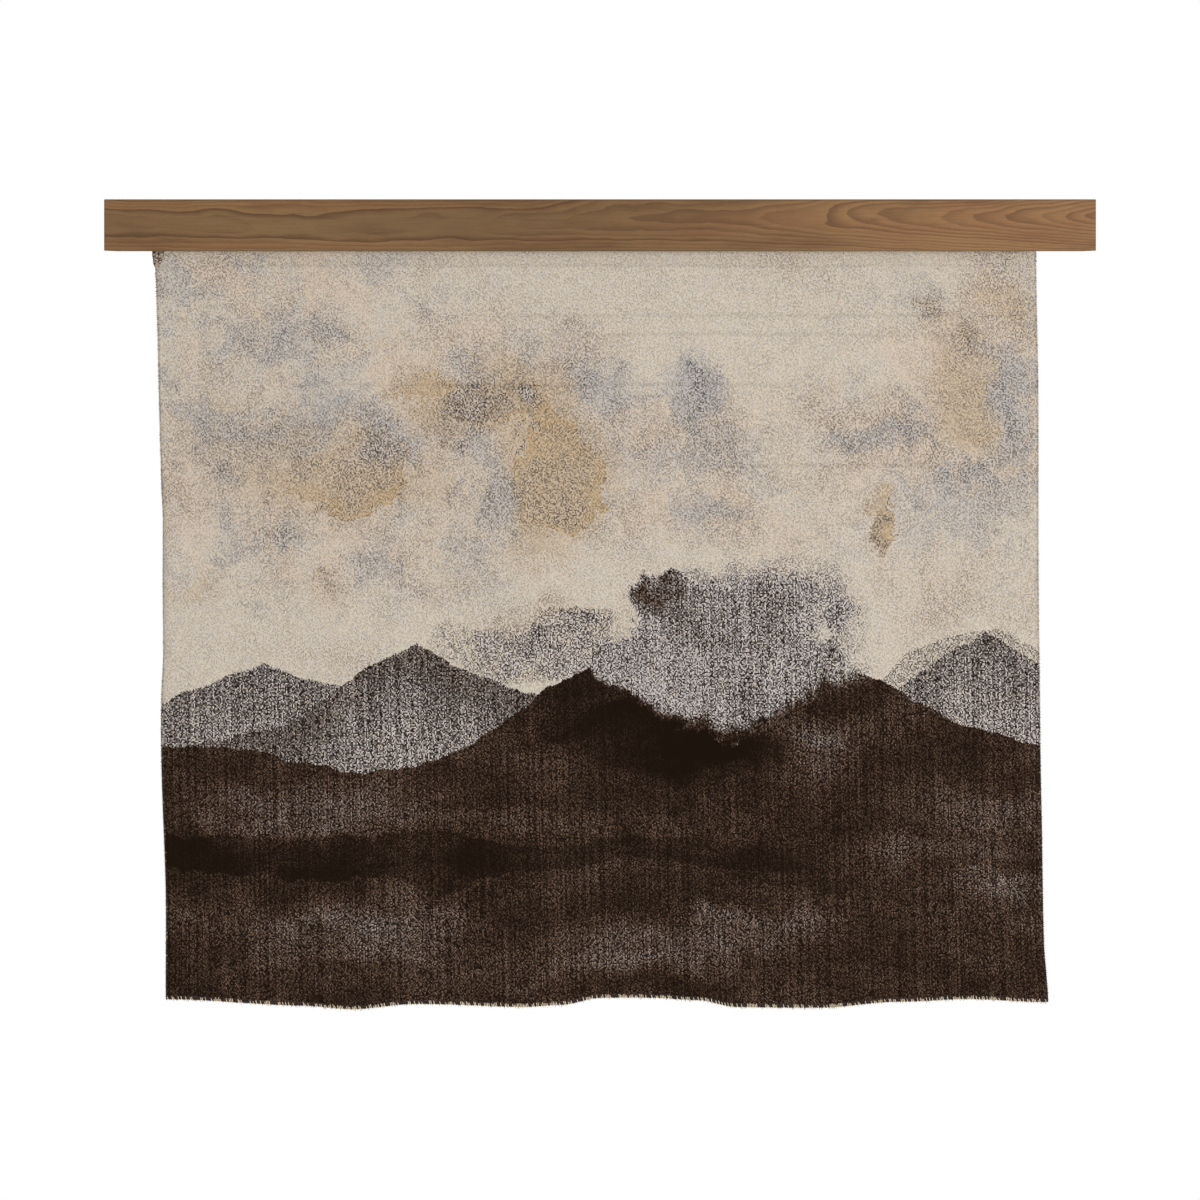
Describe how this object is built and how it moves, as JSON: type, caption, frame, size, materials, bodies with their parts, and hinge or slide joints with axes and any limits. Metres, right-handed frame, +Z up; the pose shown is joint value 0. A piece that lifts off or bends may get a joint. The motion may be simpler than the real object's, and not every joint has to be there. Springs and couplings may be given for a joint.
{
  "type": "tapestry wall hanging",
  "caption": "Wide woven landscape cloth hanging from a long slim walnut header box, which hooks onto a screwed-on wall bar with a hidden metal cleat.",
  "frame": {"origin": "on the wall plane, at the middle of the wall cleat's row of screw holes", "axes": "+Z up, +Y into the wall, +X to the right seen from the room; the hanging faces -Y"},
  "size_m": [1.524, 0.05, 1.2375],
  "materials": {
    "walnut": "satin",
    "softwood": "matte",
    "poplar": "matte",
    "zinc_steel": "satin",
    "tape_nylon": "matte",
    "cloth": "matte",
    "overlock_thread": "matte",
    "label_tape": "satin",
    "cleat_aluminium": "satin",
    "felt": "matte"
  },
  "bodies": {
    "wall_mount": {"wall_cleat": "cleat_aluminium"},
    "header": {"face_board": "walnut", "top_board": "walnut", "end_return_left": "walnut", "end_return_right": "walnut", "corner_block_left": "softwood", "corner_block_right": "softwood", "hanging_rail": "poplar", "rail_pocket_screws": "zinc_steel", "hook_tape": "tape_nylon", "tape_staples": "zinc_steel", "loop_tape": "tape_nylon", "cloth_heading": "cloth", "header_cleat": "cleat_aluminium", "header_cleat_screws": "zinc_steel", "wall_pad_left": "felt", "wall_pad_right": "felt"},
    "cloth": {"cloth_panel": "cloth", "bottom_overlock": "overlock_thread", "care_label": "label_tape"}
  },
  "joints": [
    {"name": "header_lift", "type": "slide", "parent": "wall_mount", "child": "header", "axis": [0, 0, 1], "range_m": [0, 0.012]},
    {"name": "cloth_swing", "type": "hinge", "parent": "header", "child": "cloth", "pos_m": [0, -0.02845, -0.0203], "axis": [-1, 0, 0], "range_deg": [-1.25, 40]}
  ]
}
